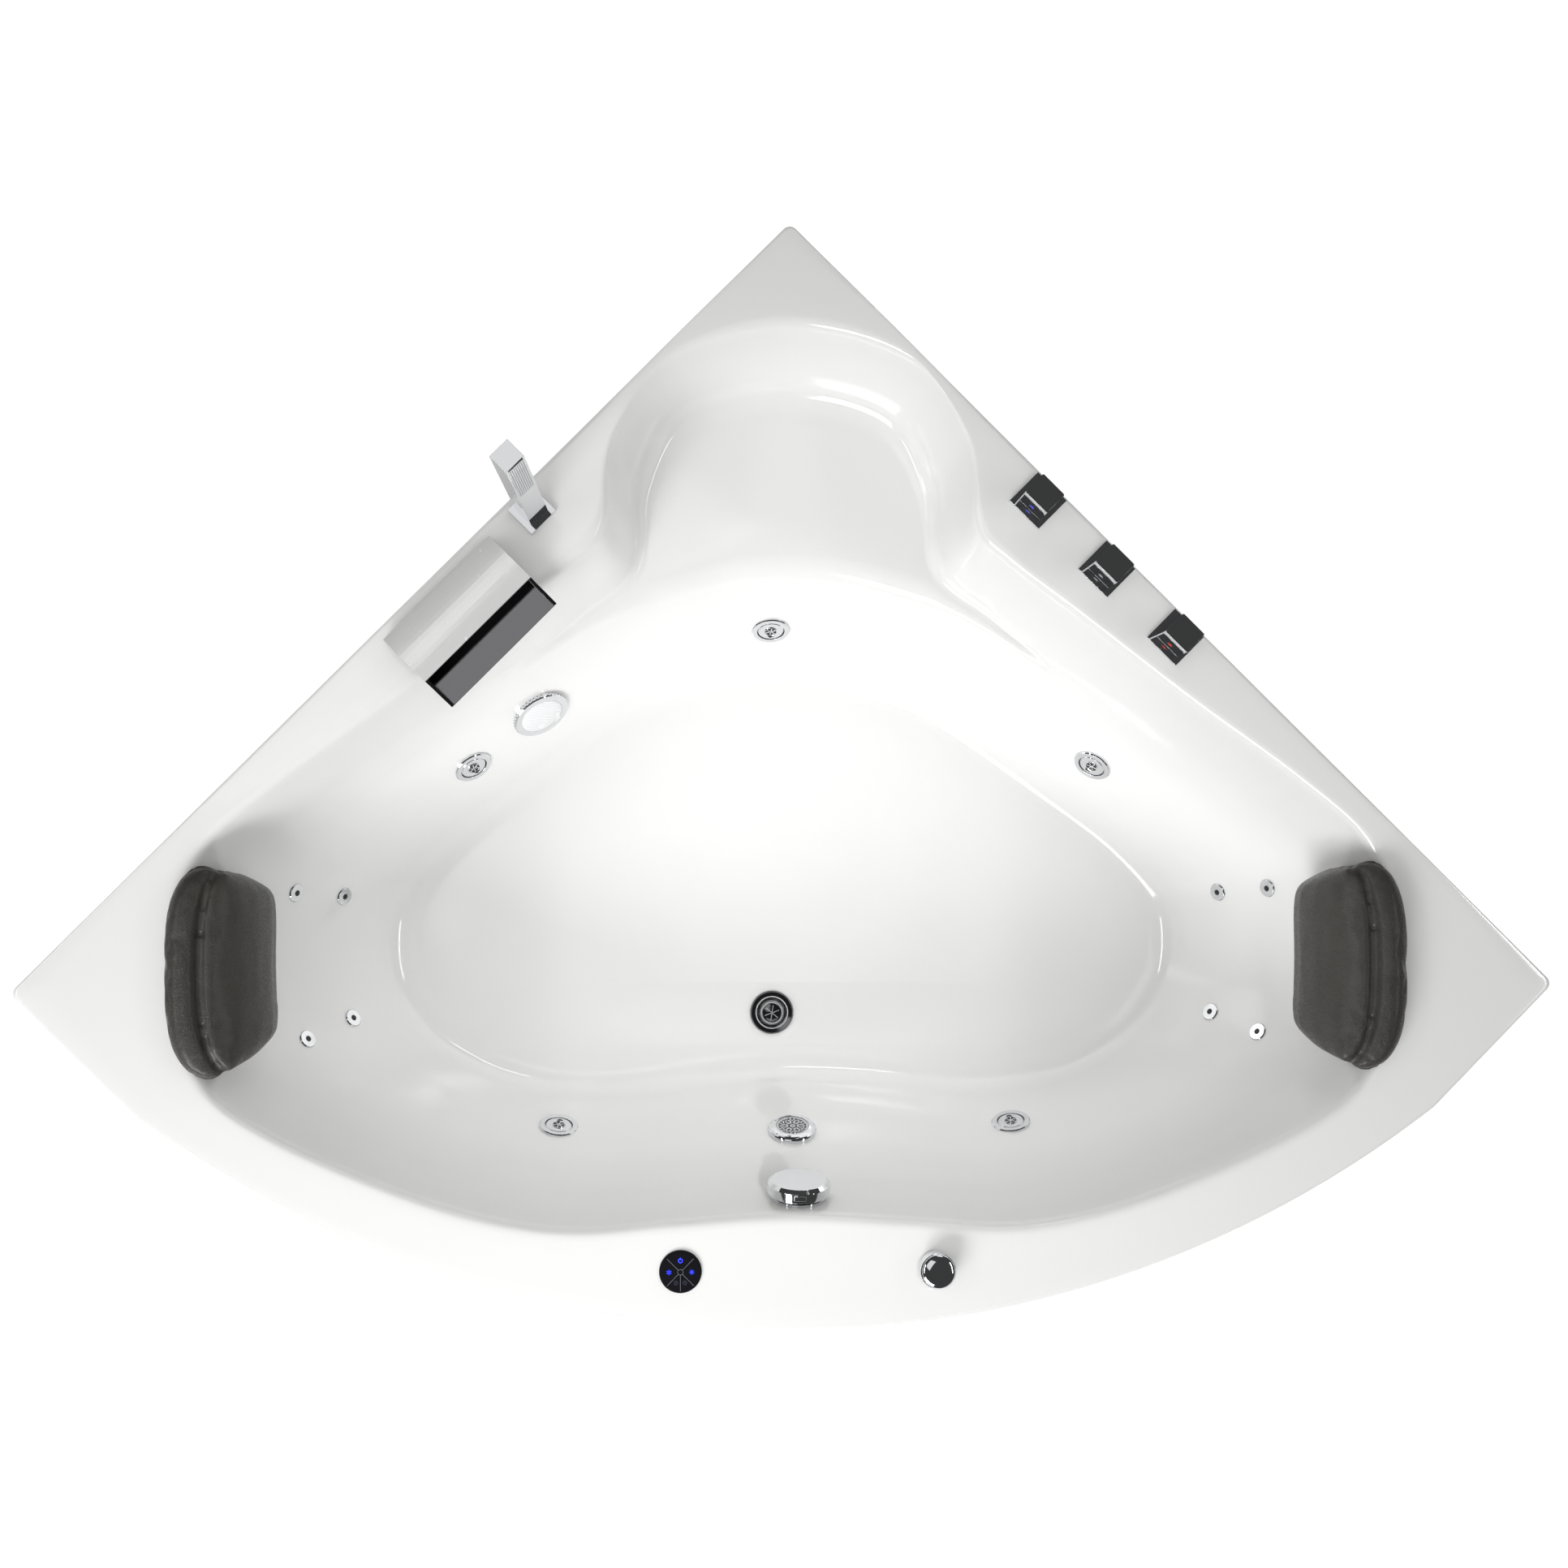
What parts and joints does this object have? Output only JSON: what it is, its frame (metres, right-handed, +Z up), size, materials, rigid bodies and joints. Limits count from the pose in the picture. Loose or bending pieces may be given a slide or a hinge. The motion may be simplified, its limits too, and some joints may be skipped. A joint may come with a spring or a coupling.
{
  "type": "bathtub",
  "caption": "Corner massage bath with a bowed front, corner seat, headrests, jets, light, taps, waterfall spout and hand shower on a steel frame.",
  "frame": {"origin": "centre of the footprint at floor level", "axes": "+X along the longest extent, from the left far corner to the right one; +Y to the wall corner; +Z up"},
  "size_m": [2.1114, 1.5236, 0.91],
  "materials": {
    "acrylic": "gloss",
    "panel": "gloss",
    "board": "raw",
    "frame_steel": "satin",
    "foot": "satin",
    "pipe_white": "matte",
    "pipe_grey": "matte",
    "chrome": "polished",
    "lens": "ribbed",
    "plastic_grey": "matte",
    "plastic_black": "matte",
    "motor": "satin",
    "brass": "satin",
    "spout_plate": "polished",
    "touch_glass": "gloss",
    "headrest": "grained"
  },
  "bodies": {
    "tub": {"tub_shell": "acrylic", "apron": "panel", "base_board": "board", "base_frame": "frame_steel", "foot_corner": "foot", "foot_right": "foot", "foot_front_right": "foot", "foot_front_left": "foot", "foot_left": "foot", "jet_ring_back": "chrome", "jet_ring_side_left": "chrome", "jet_ring_side_right": "chrome", "jet_ring_front_left": "chrome", "jet_ring_front_right": "chrome", "water_manifold": "pipe_white", "back_jets_left": "chrome", "back_jets_right": "chrome", "air_manifold": "pipe_grey", "light_ring": "chrome", "light_lens": "lens", "light_housing": "plastic_grey", "suction_ring": "chrome", "suction_grille": "chrome", "suction_pipe": "pipe_white", "pump_motor": "motor", "pump_volute": "plastic_black", "control_box": "plastic_grey", "drain_flange": "chrome", "waste_trap": "pipe_white", "overflow_collar": "chrome", "overflow_pipe": "pipe_white", "cold_plate": "chrome", "diverter_plate": "chrome", "hot_plate": "chrome", "cold_valve": "brass", "diverter_valve": "brass", "hot_valve": "brass", "spout_body": "chrome", "spout_plate": "spout_plate", "spout_shank": "brass", "deck_pipes": "brass", "handset_sleeve": "chrome", "touch_housing": "plastic_black", "touch_glass": "touch_glass", "air_valve": "chrome"},
    "cold_tap": {"cold_knob": "chrome"},
    "diverter_tap": {"diverter_knob": "chrome"},
    "hot_tap": {"hot_knob": "chrome"},
    "air_control": {"air_knob": "chrome"},
    "overflow_turner": {"overflow_cap": "chrome"},
    "plug": {"drain_plug": "chrome"},
    "back_nozzle": {"jet_nozzle_back": "chrome"},
    "side_left_nozzle": {"jet_nozzle_side_left": "chrome"},
    "side_right_nozzle": {"jet_nozzle_side_right": "chrome"},
    "front_left_nozzle": {"jet_nozzle_front_left": "chrome"},
    "front_right_nozzle": {"jet_nozzle_front_right": "chrome"},
    "impeller": {"pump_impeller": "plastic_black"},
    "left_headrest": {"headrest_left": "headrest"},
    "right_headrest": {"headrest_right": "headrest"},
    "hand_shower": {"handset": "chrome"}
  },
  "joints": [
    {"name": "cold_turn", "type": "hinge", "parent": "tub", "child": "cold_tap", "pos_m": [0.34224, 0.37787, 0.65], "axis": [0, 0, 1], "range_deg": [0, 90]},
    {"name": "diverter_turn", "type": "hinge", "parent": "tub", "child": "diverter_tap", "pos_m": [0.43699, 0.28312, 0.65], "axis": [0, 0, 1], "range_deg": [-45, 45]},
    {"name": "hot_turn", "type": "hinge", "parent": "tub", "child": "hot_tap", "pos_m": [0.53174, 0.18837, 0.65], "axis": [0, 0, 1], "range_deg": [0, 90]},
    {"name": "air_turn", "type": "hinge", "parent": "tub", "child": "air_control", "pos_m": [0.195, -0.67488, 0.65], "axis": [0, 0, 1], "range_deg": [0, 270]},
    {"name": "overflow_turn", "type": "hinge", "parent": "tub", "child": "overflow_turner", "pos_m": [0.00948, -0.59017, 0.59127], "axis": [0.0105, 0.982, 0.1884], "range_deg": [0, 90]},
    {"name": "plug_lift", "type": "slide", "parent": "tub", "child": "plug", "axis": [0, 0, 1], "range_m": [0, 0.01]},
    {"name": "back_nozzle_turn", "type": "hinge", "parent": "tub", "child": "back_nozzle", "pos_m": [-0.02073, 0.23598, 0.33866], "axis": [0.0419, -0.8746, 0.483], "continuous": true},
    {"name": "side_left_nozzle_turn", "type": "hinge", "parent": "tub", "child": "side_left_nozzle", "pos_m": [-0.48281, 0.02324, 0.342], "axis": [0.5097, -0.7244, 0.4642], "continuous": true},
    {"name": "side_right_nozzle_turn", "type": "hinge", "parent": "tub", "child": "side_right_nozzle", "pos_m": [0.48281, 0.02324, 0.342], "axis": [-0.5097, -0.7244, 0.4642], "continuous": true},
    {"name": "front_left_nozzle_turn", "type": "hinge", "parent": "tub", "child": "front_left_nozzle", "pos_m": [-0.35099, -0.53364, 0.33923], "axis": [0.1322, 0.9234, 0.3603], "continuous": true},
    {"name": "front_right_nozzle_turn", "type": "hinge", "parent": "tub", "child": "front_right_nozzle", "pos_m": [0.35099, -0.53364, 0.33923], "axis": [-0.1322, 0.9234, 0.3603], "continuous": true},
    {"name": "impeller_spin", "type": "hinge", "parent": "tub", "child": "impeller", "pos_m": [0.05, 0.44112, 0.2786], "axis": [1, 0, 0], "continuous": true},
    {"name": "left_headrest_lift", "type": "slide", "parent": "tub", "child": "left_headrest", "axis": [0, 0, 1], "range_m": [0, 0.06]},
    {"name": "right_headrest_lift", "type": "slide", "parent": "tub", "child": "right_headrest", "axis": [0, 0, 1], "range_m": [0, 0.06]},
    {"name": "hand_shower_lift", "type": "slide", "parent": "tub", "child": "hand_shower", "axis": [0, 0, 1], "range_m": [0, 0.15]}
  ],
  "couplings": [
    {"joint": "plug_lift", "follows": "overflow_turn", "m_per_rad": 0.006365}
  ]
}
